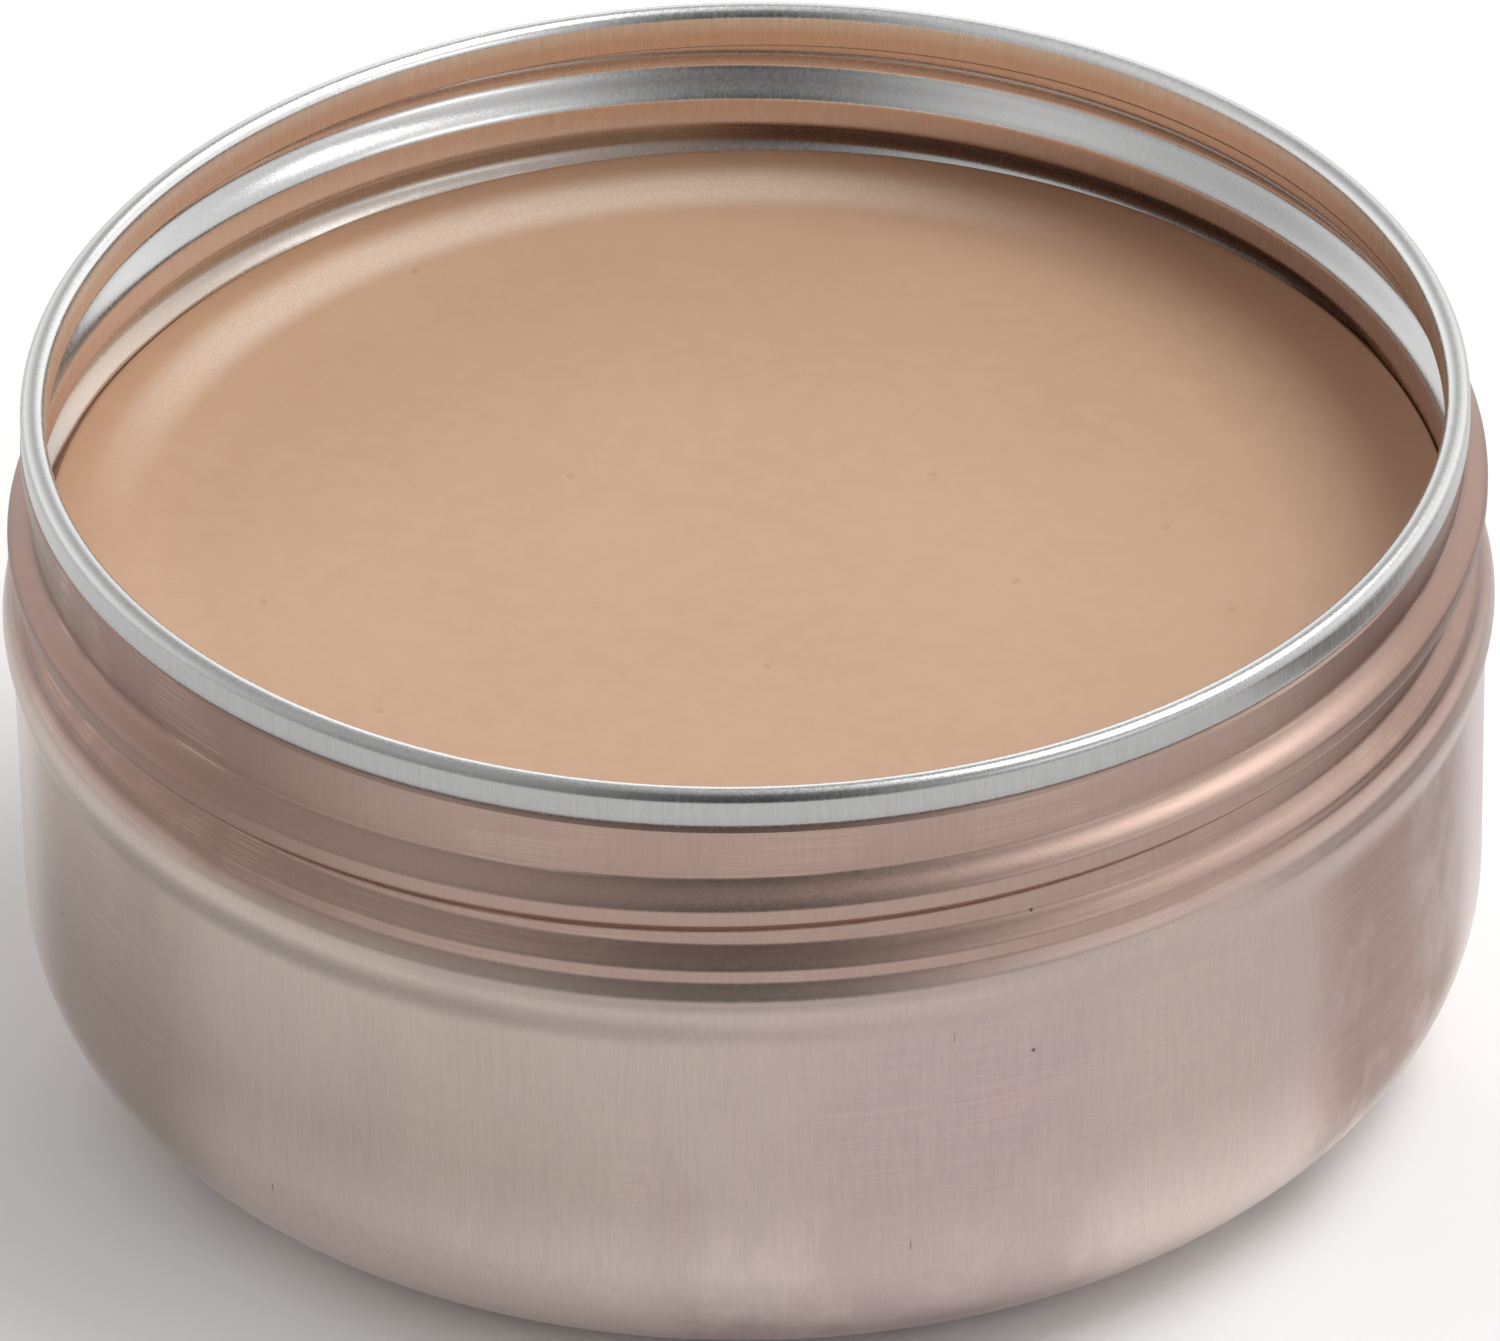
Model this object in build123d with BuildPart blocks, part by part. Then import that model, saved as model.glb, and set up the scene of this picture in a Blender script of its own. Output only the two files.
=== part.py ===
from build123d import *
import math
import os

# Shoe polish tin: a drawn aluminium cup with a curled rim and a rolled screw
# thread, its fill of polish, and its screw lid with a foam liner. The lid lies
# upside down beside the open tin.
# Millimetres, +Z up, origin at the centre of the tin's foot, on the surface.

os.makedirs("parts", exist_ok=True)

# Driving dimensions of the tin
SHEET = 0.4            # aluminium sheet thickness
HEIGHT = 33.0          # foot to top of the rolled rim
BODY_R = 34.0          # outside of the straight wall
BEAD_R = 34.4          # outside of the slight swell under the shoulder
SHOULDER_R = 34.2      # outside at the shoulder's edge
STEP_R = 33.75         # outside of the stop step between shoulder and neck
NECK_R = 32.92         # outside of the neck between the thread turns
RIM_R = 32.4           # outside of the wall where it enters the rolled rim
CORNER_R = 7.5         # outside radius between wall and foot
GROOVE_IN_R = 22.6     # shallow stiffening groove pressed into the flat base
GROOVE_OUT_R = 25.0
GROOVE_DEPTH = 0.6
GROOVE_SLOPE = 0.6     # width of each side of the groove

# Heights of the wall's changes of radius
SWELL_LOW_Z = 19.8
SWELL_TOP_Z = 21.8
SHOULDER_LOW_Z = 22.75
SHOULDER_TOP_Z = 23.3
STEP_LOW_Z = 23.98
STEP_TOP_Z = 24.81
NECK_TOP_Z = 30.4
RIM_LOW_Z = 30.85
WALL_FILLET = 0.3

# Rolled rim
CURL_WIDTH = 1.15
CURL_HEIGHT = 2.0
CURL_VOID_W = 0.35
CURL_VOID_H = 1.2
CURL_SLIT = 0.15

# Rolled thread, one right-hand start
PITCH = 4.2
THREAD_H = 1.08        # crest height above the neck
CREST_HALF = 0.42
FLANK_RATIO = 0.95     # axial run of a flank per unit of height
THREAD_ROOT = 0.8      # how far the section is buried in the wall
THREAD_TURNS = 1.22
THREAD_START_DEG = 40.0
THREAD_START_Z = 24.3
RUNOUT_DEG = 24.0      # angle over which each thread end sinks into the wall
RUNOUT_SINK = 1.5
RUNOUT_OVERLAP_DEG = 4.0

# Polish
FILL_GAP = 0.05        # shrinkage gap between polish and wall
FILL_EDGE_Z = 24.7     # polish level at the wall
FILL_DIP = 0.6         # how far the middle lies under the edge
FILL_FLAT_R = 26.0
FILL_EDGE_FILLET = 0.25

# Screw lid and liner
LID_X = 104.0
LID_GAP = 0.05         # clearance between the lid and the surface under it
LID_R = 34.6           # outside of the skirt
LID_HEIGHT = 11.2
LID_CORNER_R = 1.5
LID_PANEL_R = 28.2
LID_PANEL_RISE = 0.4
LID_PANEL_SLOPE = 0.6
HEM_WIDTH = 1.0
HEM_HEIGHT = 1.4
HEM_VOID_W = 0.2
HEM_VOID_H = 0.9
LID_RIDGE_H = 1.1      # how far the lid's thread stands in from its skirt
LID_RIDGE_HALF = 0.25
LID_TURNS = 0.9
LID_THREAD_START_DEG = 200.0
LID_THREAD_START_Z = 4.4
LINER_R = 33.4
LINER_T = 1.0
LINER_GAP = 0.02


def wall_points(inset):
    # One side of the cup's section, from the axis out and up to the neck,
    # moved into the sheet by the inset.
    spread = inset * 0.4
    return [
        (0, inset),
        (GROOVE_IN_R - spread, inset),
        (GROOVE_IN_R + GROOVE_SLOPE - spread, GROOVE_DEPTH + inset),
        (GROOVE_OUT_R - GROOVE_SLOPE + spread, GROOVE_DEPTH + inset),
        (GROOVE_OUT_R + spread, inset),
        (BODY_R - CORNER_R, inset),
    ], [
        (BODY_R - inset, CORNER_R),
        (BODY_R - inset, SWELL_LOW_Z),
        (BEAD_R - inset, SWELL_TOP_Z),
        (SHOULDER_R - inset, SHOULDER_LOW_Z),
        (STEP_R - inset, SHOULDER_TOP_Z),
        (STEP_R - inset, STEP_LOW_Z),
        (NECK_R - inset, STEP_TOP_Z),
        (NECK_R - inset, NECK_TOP_Z),
        (RIM_R - inset, RIM_LOW_Z),
    ]


def cup_face(inset, top_z):
    # Filled half section of the cup up to a given height.
    base, side = wall_points(inset)
    corner = CORNER_R - inset
    bend = corner * math.sqrt(0.5)
    mid = (BODY_R - CORNER_R + bend, CORNER_R - bend)
    with BuildSketch() as section:
        with BuildLine():
            Polyline(*base)
            ThreePointArc(base[-1], mid, side[0])
            Polyline(*side, (RIM_R - inset, top_z))
            Polyline((RIM_R - inset, top_z), (0, top_z), base[0])
        make_face()
        bends = [
            corner_point
            for corner_point in section.vertices()
            if SWELL_LOW_Z + 1 < corner_point.Y < RIM_LOW_Z + 0.05 and corner_point.X > 1
        ]
        fillet(bends, WALL_FILLET)
    return section.sketch


def thread_piece(points, radius, turns, start_deg, start_z, axis_x, upward=True, cone=0.0):
    # Sweep a section, given as (outward, axial) points about the helix
    # radius, along a right-hand helix that begins at the stated angle.
    direction = (0, 0, 1) if upward else (0, 0, -1)
    with BuildLine() as coil:
        Helix(
            pitch=PITCH,
            height=PITCH * turns,
            radius=radius,
            direction=direction,
            cone_angle=-cone,
        )
    begin = coil.line @ 0
    radial = (begin.X, begin.Y, 0)
    with BuildPart() as piece:
        with BuildSketch(Plane(origin=begin, x_dir=radial, z_dir=coil.line % 0)):
            with BuildLine():
                Polyline(*points, close=True)
            make_face()
        sweep(path=coil.line, is_frenet=True)
    turn_deg = start_deg - math.degrees(math.atan2(begin.Y, begin.X))
    return Pos(axis_x, 0, start_z) * Rot(0, 0, turn_deg) * piece.part


def thread_set(points, radius, turns, start_deg, start_z, axis_x):
    # The full-height thread and the run-out that overlaps each of its ends.
    inside = RUNOUT_OVERLAP_DEG
    inside_z = PITCH * inside / 360
    runout = RUNOUT_DEG / 360
    end_deg = start_deg + 360 * turns
    end_z = start_z + PITCH * turns
    cone = math.degrees(math.atan2(RUNOUT_SINK, PITCH * runout))
    low = (start_deg + inside, start_z + inside_z, axis_x, False, cone)
    high = (end_deg - inside, end_z - inside_z, axis_x, True, cone)
    return [
        thread_piece(points, radius, turns, start_deg, start_z, axis_x),
        thread_piece(points, radius, runout, *high),
        thread_piece(points, radius, runout, *low),
    ]


def ridge_points(height, half, root, side):
    # Trapezoid that stands up by height from the surface it is buried in.
    # side is +1 for a ridge that points outward and -1 for one inward.
    base_half = half + (height + root) * FLANK_RATIO
    return [
        (-root * side, base_half),
        (height * side, half),
        (height * side, -half),
        (-root * side, -base_half),
    ]


def groove_points(height, half, reach, side):
    # The same ridge seen from the back of the sheet, one sheet thinner.
    shift = SHEET * math.sqrt(1 + FLANK_RATIO**2)
    crest = height - SHEET
    crest_half = half + SHEET * FLANK_RATIO - shift
    base_half = crest_half + (crest + reach) * FLANK_RATIO
    return [
        (-reach * side, base_half),
        (crest * side, crest_half),
        (crest * side, -crest_half),
        (-reach * side, -base_half),
    ]


# Tin body -------------------------------------------------------------
neck_ridge = thread_set(
    ridge_points(THREAD_H, CREST_HALF, THREAD_ROOT, 1),
    NECK_R,
    THREAD_TURNS,
    THREAD_START_DEG,
    THREAD_START_Z,
    0,
)
neck_groove = thread_set(
    groove_points(THREAD_H, CREST_HALF, THREAD_ROOT + SHEET, 1),
    NECK_R,
    THREAD_TURNS,
    THREAD_START_DEG,
    THREAD_START_Z,
    0,
)
curl_mid_r = RIM_R - SHEET + CURL_WIDTH / 2
curl_mid_z = HEIGHT - CURL_HEIGHT / 2
curl_void_r = RIM_R + CURL_VOID_W / 2
curl_slit_r = RIM_R + CURL_SLIT / 2
cup_outside = cup_face(0, curl_mid_z)
cup_inside = cup_face(SHEET, HEIGHT + 1)

with BuildPart() as tin_space:
    with BuildSketch(Plane.XZ):
        add(cup_inside)
    revolve(axis=Axis.Z)
    for groove in neck_groove:
        add(groove)

with BuildPart() as tin_body:
    with BuildSketch(Plane.XZ):
        with Locations((curl_mid_r, curl_mid_z)):
            SlotOverall(CURL_HEIGHT, CURL_WIDTH, rotation=90)
        with Locations((curl_void_r, curl_mid_z)):
            SlotOverall(CURL_VOID_H, CURL_VOID_W, rotation=90, mode=Mode.SUBTRACT)
        with Locations((curl_slit_r, HEIGHT - CURL_HEIGHT)):
            Rectangle(CURL_SLIT, CURL_HEIGHT, mode=Mode.SUBTRACT)
        add(cup_outside)
    revolve(axis=Axis.Z)
    for ridge in neck_ridge:
        add(ridge)
    add(tin_space.part, mode=Mode.SUBTRACT)

tin_body.part.label = "tin_body"
export_step(tin_body.part, "parts/tin_body.step")

# Polish ---------------------------------------------------------------
inset = SHEET + FILL_GAP
fill_base, fill_side = wall_points(inset)
fill_corner = (CORNER_R - inset) * math.sqrt(0.5)
fill_mid = (BODY_R - CORNER_R + fill_corner, CORNER_R - fill_corner)
step_slope = (STEP_R - NECK_R) / (STEP_TOP_Z - STEP_LOW_Z)
fill_edge = (STEP_R - inset - (FILL_EDGE_Z - STEP_LOW_Z) * step_slope, FILL_EDGE_Z)
fill_flat = (FILL_FLAT_R, FILL_EDGE_Z - FILL_DIP)

with BuildPart() as polish:
    with BuildSketch(Plane.XZ) as fill_section:
        with BuildLine():
            Polyline(*fill_base)
            ThreePointArc(fill_base[-1], fill_mid, fill_side[0])
            Polyline(*[point for point in fill_side if point[1] < FILL_EDGE_Z], fill_edge)
            TangentArc(fill_flat, fill_edge, tangent=(1, 0))
            Polyline(fill_flat, (0, FILL_EDGE_Z - FILL_DIP), fill_base[0])
        make_face()
        rim = fill_section.vertices().sort_by_distance((fill_edge[0], 0, fill_edge[1]))[0]
        fillet(rim, FILL_EDGE_FILLET)
    revolve(axis=Axis.Z)

polish.part.label = "polish"
export_step(polish.part, "parts/polish.step")

# Screw lid, upside down -------------------------------------------------
lid_plane = Plane(origin=(LID_X, 0, LID_GAP), x_dir=(1, 0, 0), z_dir=(0, -1, 0))
lid_axis = Axis((LID_X, 0, 0), (0, 0, 1))
skirt_inner_r = LID_R - SHEET
lid_ridge = thread_piece(
    ridge_points(LID_RIDGE_H, LID_RIDGE_HALF, SHEET / 2, -1),
    skirt_inner_r,
    LID_TURNS,
    LID_THREAD_START_DEG,
    LID_THREAD_START_Z + LID_GAP,
    LID_X,
)
lid_groove = thread_piece(
    groove_points(LID_RIDGE_H, LID_RIDGE_HALF, 2 * SHEET, -1),
    skirt_inner_r,
    LID_TURNS,
    LID_THREAD_START_DEG,
    LID_THREAD_START_Z + LID_GAP,
    LID_X,
)
hem_mid_r = skirt_inner_r + HEM_WIDTH / 2
hem_mid_z = LID_HEIGHT - HEM_HEIGHT / 2
hem_void_r = LID_R + HEM_VOID_W / 2


def lid_face(inset, top_z):
    # Filled half section of the lid up to a given height.
    base = [
        (0, LID_PANEL_RISE + inset),
        (LID_PANEL_R - inset * 0.5, LID_PANEL_RISE + inset),
        (LID_PANEL_R + LID_PANEL_SLOPE - inset * 0.5, inset),
        (LID_R - LID_CORNER_R, inset),
    ]
    bend = (LID_CORNER_R - inset) * math.sqrt(0.5)
    mid = (LID_R - LID_CORNER_R + bend, LID_CORNER_R - bend)
    skirt_r = LID_R - inset
    with BuildSketch() as section:
        with BuildLine():
            Polyline(*base)
            ThreePointArc(base[-1], mid, (skirt_r, LID_CORNER_R))
            Polyline((skirt_r, LID_CORNER_R), (skirt_r, top_z), (0, top_z), base[0])
        make_face()
    return section.sketch


lid_outside = lid_face(0, hem_mid_z)
lid_inside = lid_face(SHEET, LID_HEIGHT + 1)

with BuildPart() as lid_space:
    with BuildSketch(lid_plane):
        add(lid_inside)
    revolve(axis=lid_axis)
    add(lid_ridge, mode=Mode.SUBTRACT)

with BuildPart() as screw_lid:
    with BuildSketch(lid_plane):
        with Locations((hem_mid_r, hem_mid_z)):
            SlotOverall(HEM_HEIGHT, HEM_WIDTH, rotation=90)
        with Locations((hem_void_r, hem_mid_z)):
            SlotOverall(HEM_VOID_H, HEM_VOID_W, rotation=90, mode=Mode.SUBTRACT)
        with Locations((hem_void_r, LID_HEIGHT - HEM_HEIGHT)):
            Rectangle(HEM_VOID_W, HEM_HEIGHT, mode=Mode.SUBTRACT)
        add(lid_outside)
    revolve(axis=lid_axis)
    add(lid_groove, mode=Mode.SUBTRACT)
    add(lid_space.part, mode=Mode.SUBTRACT)

screw_lid.part.label = "screw_lid"
export_step(screw_lid.part, "parts/screw_lid.step")

# Foam liner, resting on the lid's panel ----------------------------------
liner_z = LID_GAP + LID_PANEL_RISE + SHEET + LINER_GAP
with BuildPart() as lid_liner:
    with BuildSketch(Plane(origin=(LID_X, 0, liner_z))):
        Circle(LINER_R)
    extrude(amount=LINER_T)
    fillet(lid_liner.edges(), 0.2)

lid_liner.part.label = "lid_liner"
export_step(lid_liner.part, "parts/lid_liner.step")
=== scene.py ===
import math

import bpy
import bmesh
from mathutils import Matrix, Vector


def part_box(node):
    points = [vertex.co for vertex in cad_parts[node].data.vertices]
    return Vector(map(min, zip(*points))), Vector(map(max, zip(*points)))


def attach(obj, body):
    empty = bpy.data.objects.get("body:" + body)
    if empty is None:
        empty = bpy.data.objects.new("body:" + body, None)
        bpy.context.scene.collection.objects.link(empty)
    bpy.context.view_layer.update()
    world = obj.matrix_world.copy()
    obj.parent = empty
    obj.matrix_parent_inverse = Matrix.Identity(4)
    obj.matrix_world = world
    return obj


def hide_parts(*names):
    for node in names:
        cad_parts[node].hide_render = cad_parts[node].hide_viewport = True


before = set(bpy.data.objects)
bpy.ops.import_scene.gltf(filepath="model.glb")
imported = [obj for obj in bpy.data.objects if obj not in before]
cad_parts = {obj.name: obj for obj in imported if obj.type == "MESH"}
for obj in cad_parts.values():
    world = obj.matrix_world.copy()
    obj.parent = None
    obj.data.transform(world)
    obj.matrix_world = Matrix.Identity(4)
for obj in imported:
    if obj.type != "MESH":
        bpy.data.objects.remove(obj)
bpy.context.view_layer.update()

MM = 0.001
AZIMUTH_STEPS = 512

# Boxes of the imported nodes, in metres
tin_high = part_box("tin_body")[1]
fill_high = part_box("polish")[1]
lid_low, lid_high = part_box("screw_lid")
liner_low, liner_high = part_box("lid_liner")
HEIGHT = tin_high[2] / MM
LID_X = (lid_low[0] + lid_high[0]) / 2 / MM
LID_HEIGHT = (lid_high[2] - lid_low[2]) / MM
FILL_EDGE_Z = fill_high[2] / MM

# The tin's sheet and section, in millimetres
SHEET = 0.4
BODY_R = 34.0
BEAD_R = 34.4
SHOULDER_R = 34.2
STEP_R = 33.75
NECK_R = 32.92
RIM_R = 32.4
CORNER_R = 7.5
WALL_EASE = 0.15       # how far each bend of the wall is softened
GROOVE_IN_R = 22.6
GROOVE_OUT_R = 25.0
GROOVE_DEPTH = 0.6
GROOVE_SLOPE = 0.6
CURL_WIDTH = 1.15
CURL_HEIGHT = 2.0
CURL_VOID_R = 0.175
FILL_GAP = 0.05
FILL_DIP = 0.6
FILL_FLAT_R = 26.0
MENISCUS = 0.22        # how far the wax clings above the level of the fill

# Heights of the wall's changes of radius, measured down from the rim's top
SWELL_LOW_Z = HEIGHT - 13.2
SWELL_TOP_Z = HEIGHT - 11.2
SHOULDER_LOW_Z = HEIGHT - 10.25
SHOULDER_TOP_Z = HEIGHT - 9.7
STEP_LOW_Z = HEIGHT - 9.02
STEP_TOP_Z = HEIGHT - 8.19
NECK_TOP_Z = HEIGHT - 2.6
RIM_LOW_Z = HEIGHT - 2.15
CURL_LOW_Z = HEIGHT - CURL_HEIGHT

# The lid, lying upside down
LID_R = 34.6
LID_CORNER_R = 1.5
LID_PANEL_R = 28.2
LID_PANEL_RISE = 0.4
LID_PANEL_SLOPE = 0.6
HEM_WIDTH = 1.0
HEM_HEIGHT = 1.4
HEM_VOID_R = 0.1

# Rolled threads. Each run is the half-width of the bead at its foot, along
# the axis, above and below its middle; the crest is the half-width at its top.
PITCH = 4.2
THREAD_H = 1.08
CREST_OUTSIDE = 0.28
CREST_INSIDE = 0.02    # the sheet bends tighter on its inner face
TIN_THREAD = {
    "start_deg": 40.0,
    "start_z": 24.3,
    "turns": 1.22,
    "up_run": 1.56,
    "down_run": 1.5,
    "fade_in_deg": 24.0,
    "fade_out_deg": 95.0,
}
LID_RIDGE_H = 1.1
LID_CREST = 0.25
LID_THREAD = {
    "start_deg": 200.0,
    "start_z": 4.4,
    "turns": 0.9,
    "up_run": 1.35,
    "down_run": 1.35,
    "fade_in_deg": 14.0,
    "fade_out_deg": 14.0,
}

# Spacing of the points along a wall: close where it bends, wide where straight
FINE_STEP = 0.1
WIDE_STEP = 0.75


def smooth(edge0, edge1, x):
    t = min(max((x - edge0) / (edge1 - edge0), 0.0), 1.0)
    return t * t * (3 - 2 * t)


def arc(cx, cz, radius, start_deg, end_deg, steps):
    points = []
    for k in range(steps + 1):
        a = math.radians(start_deg + (end_deg - start_deg) * k / steps)
        points.append((cx + radius * math.cos(a), cz + radius * math.sin(a)))
    return points


def line(start, end, steps):
    return [
        (
            start[0] + (end[0] - start[0]) * k / steps,
            start[1] + (end[1] - start[1]) * k / steps,
        )
        for k in range(1, steps + 1)
    ]


def helix_height(angle_deg, z, thread, crest_half):
    # Height, 0 to 1, of a helical bead at one angle and height on the wall.
    fade_in, fade_out = thread["fade_in_deg"], thread["fade_out_deg"]
    length = 360.0 * thread["turns"]
    best = 0.0
    for turn in range(-2, 4):
        along = angle_deg - thread["start_deg"] + 360.0 * turn
        if along < -fade_in or along > length + fade_out:
            continue
        fade = smooth(-fade_in, 0.0, along)
        fade *= 1 - smooth(length, length + fade_out, along)
        offset = z - (thread["start_z"] + PITCH * along / 360.0)
        run = thread["up_run"] if offset > 0 else thread["down_run"]
        bump = 1 - smooth(crest_half, run, abs(offset))
        best = max(best, bump * fade)
    return best


def ring_rows(bm, loop, centre_x, bead, lift):
    # One row of vertices round the axis for each point of the section.
    layer = bm.verts.layers.float_color.new("zone")
    rows = []
    for r, z, zone in loop:
        if r <= 1e-9:
            v = bm.verts.new((centre_x * MM, 0, z * MM + lift))
            v[layer] = (zone, 0.0, 0.0, 1.0)
            rows.append([v])
            continue
        row = []
        for j in range(AZIMUTH_STEPS):
            deg = 360.0 * j / AZIMUTH_STEPS
            offset, share = bead(deg, z, zone)
            a = math.radians(deg)
            rr = r + offset
            x, y = centre_x + rr * math.cos(a), rr * math.sin(a)
            v = bm.verts.new((x * MM, y * MM, z * MM + lift))
            v[layer] = (zone, share, 0.0, 1.0)
            row.append(v)
        rows.append(row)
    return rows


def ring_mesh(name, loop, centre_x, bead, lift=0.0):
    # Surface of revolution from a list of (r, z, zone) points in millimetres,
    # raised by lift metres.
    # bead(angle_deg, z, zone) gives the radial offset and its share, 0 to 1.
    mesh = bpy.data.meshes.new(name)
    bm = bmesh.new()
    rows = ring_rows(bm, loop, centre_x, bead, lift)
    around = [(j, (j + 1) % AZIMUTH_STEPS) for j in range(AZIMUTH_STEPS)]
    for lower, upper in zip(rows, rows[1:]):
        for j, k in around:
            if len(lower) == 1:
                bm.faces.new((lower[0], upper[k], upper[j]))
            elif len(upper) == 1:
                bm.faces.new((lower[j], lower[k], upper[0]))
            else:
                bm.faces.new((lower[j], lower[k], upper[k], upper[j]))
    first, last = rows[0], rows[-1]
    if len(first) > 1 and len(last) > 1:
        for j, k in around:
            bm.faces.new((last[j], last[k], first[k], first[j]))
    bmesh.ops.recalc_face_normals(bm, faces=bm.faces)
    for face in bm.faces:
        face.smooth = True
    bm.to_mesh(mesh)
    bm.free()
    obj = bpy.data.objects.new(name, mesh)
    bpy.context.scene.collection.objects.link(obj)
    return obj


# ---------------------------------------------------------------- tin shape
def wall_radius(z):
    # Outside radius of the wall without its thread.
    ease = WALL_EASE
    r = BODY_R
    r += (BEAD_R - BODY_R) * smooth(SWELL_LOW_Z, SWELL_TOP_Z, z)
    r -= (BEAD_R - SHOULDER_R) * smooth(SWELL_TOP_Z, SHOULDER_LOW_Z + ease, z)
    r -= (SHOULDER_R - STEP_R) * smooth(SHOULDER_LOW_Z - ease, SHOULDER_TOP_Z + ease, z)
    r -= (STEP_R - NECK_R) * smooth(STEP_LOW_Z - ease, STEP_TOP_Z + ease, z)
    r -= (NECK_R - RIM_R) * smooth(NECK_TOP_Z - ease, RIM_LOW_Z + ease, z)
    return r


def wall_run(z, stop_z, step, inset=0.0):
    # Points along the wall from z to just past stop_z, and the height reached.
    points = []
    while (stop_z - z) * step > 0:
        z += step
        points.append((wall_radius(z) - inset, z))
    return points, z


def base_groove(lift, spread):
    # The stiffening groove in the base, with its edges eased.
    inner, outer = GROOVE_IN_R - spread, GROOVE_OUT_R + spread
    return [
        (inner, lift + 0.03),
        (inner + 0.15, lift + 0.13),
        (inner + GROOVE_SLOPE - 0.1, lift + GROOVE_DEPTH - 0.1),
        (inner + GROOVE_SLOPE + 0.1, lift + GROOVE_DEPTH),
        (outer - GROOVE_SLOPE - 0.1, lift + GROOVE_DEPTH),
        (outer - GROOVE_SLOPE + 0.1, lift + GROOVE_DEPTH - 0.1),
        (outer - 0.15, lift + 0.13),
        (outer, lift + 0.03),
        (outer + 0.15, lift),
    ]


def curl_section(start_z):
    # The rolled rim from the top of the outside wall, by its hidden inside and
    # its free edge, over its top: lists of points, each with its zone.
    half = CURL_WIDTH / 2
    mid_r = RIM_R - SHEET + half
    outer_r = mid_r + half
    low_z = CURL_LOW_Z + half
    top_z = HEIGHT - half
    void = CURL_VOID_R
    return top_z, [
        (line((RIM_R, start_z), (RIM_R, top_z), 4), 0.9),
        (arc(RIM_R + void, top_z, void, 180, 0, 6)[1:], 0.3),
        (line((RIM_R + 2 * void, top_z), (RIM_R + 2 * void, low_z + 0.1), 3), 0.3),
        ([(RIM_R + 0.3, low_z - 0.25), (RIM_R + 0.2, low_z - 0.35)], 0.3),
        (arc(mid_r, low_z, half, -108, 0, 12), 0.1),
        (line((outer_r, low_z), (outer_r, top_z), 4), 0.0),
        (arc(mid_r, top_z, half, 0, 180, 20)[1:], 0.0),
    ]


def tin_loop():
    # Zone is 1 on the outside, 0 inside and over the rim.
    loop = []

    def put(points, zone):
        loop.extend((r, z, zone) for r, z in points)

    # Underside and outside, from the middle of the base up
    put([(0, 0)], 1.0)
    put(line((0, 0), (GROOVE_IN_R - 0.15, 0), 6), 1.0)
    put(base_groove(0, 0), 1.0)
    corner_x = BODY_R - CORNER_R
    put(arc(corner_x, CORNER_R, CORNER_R, -90, 0, 22), 1.0)
    straight, z = wall_run(CORNER_R, SWELL_LOW_Z - 0.5, WIDE_STEP)
    put(straight, 1.0)
    shaped, z = wall_run(z, CURL_LOW_Z - 0.05, FINE_STEP)
    put(shaped, 1.0)
    top_z, curl = curl_section(z)
    for points, zone in curl:
        put(points, zone)
    # Inside wall and the inside of the base
    shaped, z = wall_run(top_z, SHOULDER_LOW_Z - 0.6, -FINE_STEP, SHEET)
    put(shaped, 0.0)
    straight, z = wall_run(z, CORNER_R + 0.8, -WIDE_STEP, SHEET)
    put(straight, 0.0)
    put(arc(corner_x, CORNER_R, CORNER_R - SHEET, 0, -90, 16), 0.0)
    put(base_groove(SHEET, SHEET * 0.4)[::-1], 0.0)
    put(line((GROOVE_IN_R - 0.3, SHEET), (0, SHEET), 5), 0.0)
    return loop


def tin_bead(deg, z, zone):
    if z < STEP_LOW_Z - 2 or z > CURL_LOW_Z - 0.02:
        return 0.0, 0.0
    crest_half = CREST_OUTSIDE if zone > 0.5 else CREST_INSIDE
    share = helix_height(deg, z, TIN_THREAD, crest_half)
    # The bead stands on the neck and is swallowed by the wider step below.
    offset = max(NECK_R + THREAD_H * share - wall_radius(z), 0.0)
    return offset, share


tin = ring_mesh("tin_shell", tin_loop(), 0.0, tin_bead)


# ------------------------------------------------------------- polish shape
def fill_loop():
    loop = []
    inset = SHEET + FILL_GAP
    dip_z = FILL_EDGE_Z - FILL_DIP
    edge_z = FILL_EDGE_Z + MENISCUS
    edge_r = wall_radius(edge_z) - inset
    loop.append((0, inset, 0.0))
    loop += [(r, z, 0.0) for r, z in line((0, inset), (GROOVE_IN_R - 0.3, inset), 4)]
    loop += [(r, z, 0.0) for r, z in base_groove(inset, inset * 0.4)]
    corner = arc(BODY_R - CORNER_R, CORNER_R, CORNER_R - inset, -90, 0, 14)
    loop += [(r, z, 0.0) for r, z in corner]
    side, _ = wall_run(CORNER_R, edge_z - 0.35, 0.15, inset)
    loop += [(r, z, 0.0) for r, z in side]
    # Broken edge beside the wall, then the shallow meniscus and the flat top
    loop += [
        (edge_r, edge_z - 0.15, 1.0),
        (edge_r - 0.01, edge_z - 0.08, 1.0),
        (edge_r - 0.05, edge_z - 0.02, 1.0),
        (edge_r - 0.12, edge_z, 1.0),
    ]
    r = edge_r - 0.3
    while r > FILL_FLAT_R - 2:
        rise = smooth(FILL_FLAT_R - 1.0, edge_r + 1.2, r)
        loop.append((r, dip_z + (edge_z - dip_z) * 1.06 * rise, 1.0))
        r -= 0.22
    for k in range(1, 41):
        loop.append((max((FILL_FLAT_R - 2) * (1 - k / 40.0), 0.0), dip_z, 1.0))
    return loop


def no_bead(deg, z, zone):
    return 0.0, 0.0


polish = ring_mesh("polish_fill", fill_loop(), 0.0, no_bead)


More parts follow.
